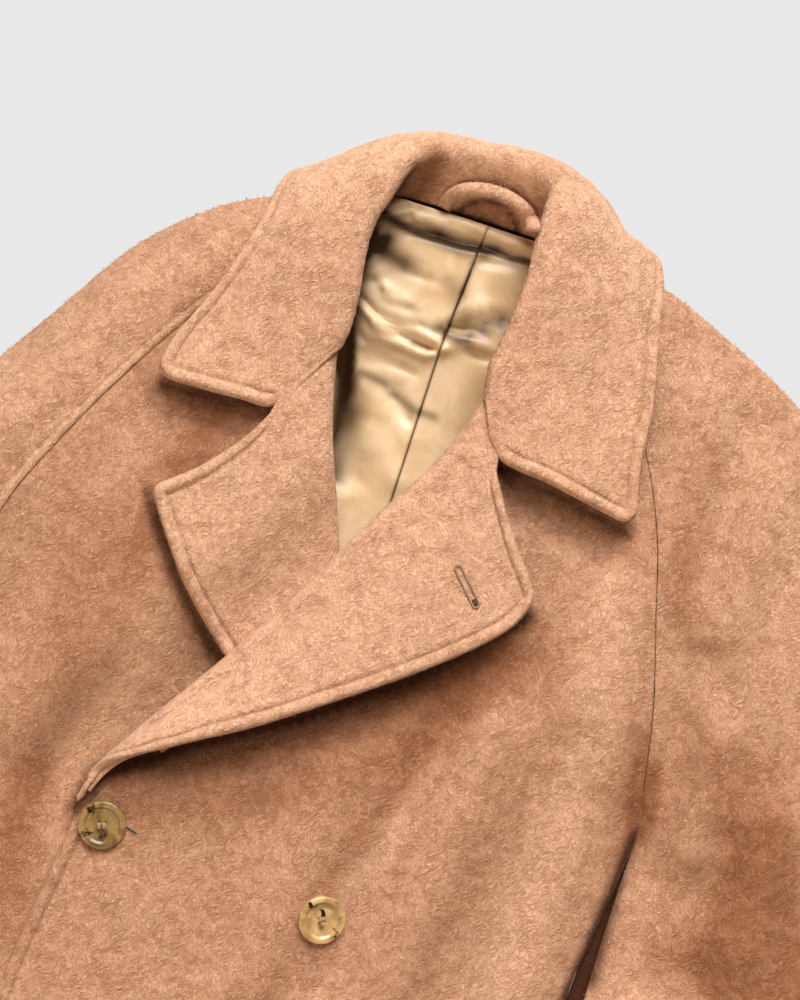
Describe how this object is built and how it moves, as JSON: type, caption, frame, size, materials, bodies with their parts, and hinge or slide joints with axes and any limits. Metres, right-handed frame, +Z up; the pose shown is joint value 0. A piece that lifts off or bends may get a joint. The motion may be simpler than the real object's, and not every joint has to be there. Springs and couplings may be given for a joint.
{
  "type": "double-breasted raglan overcoat, laid flat",
  "caption": "Camel boiled-wool double-breasted overcoat with notched lapels and raglan sleeves, laid flat on its back.",
  "frame": {"origin": "on the outside of the back panel, on the centre-back line at chest level, where the laid coat rests", "axes": "+Y from hem to collar, +X to the wearer's left, +Z up from the surface the coat lies on"},
  "size_m": [0.7924, 1.1517, 0.0595],
  "materials": {
    "boiled_wool": "fuzzy boiled wool with a curly nap",
    "satin": "soft satin sheen",
    "horn": "polished mottled horn"
  },
  "bodies": {
    "root": {"back": "boiled_wool", "front_left": "boiled_wool", "front_right": "boiled_wool", "facing_left": "boiled_wool", "facing_right": "boiled_wool", "sleeve_left_front": "boiled_wool", "sleeve_left_back": "boiled_wool", "sleeve_right_front": "boiled_wool", "sleeve_right_back": "boiled_wool", "collar": "boiled_wool", "hanger_loop": "boiled_wool", "back_lining": "satin", "button_over_1": "horn", "button_over_2": "horn", "button_over_3": "horn", "button_near_1": "horn", "button_near_2": "horn", "button_near_3": "horn"}
  },
  "joints": []
}
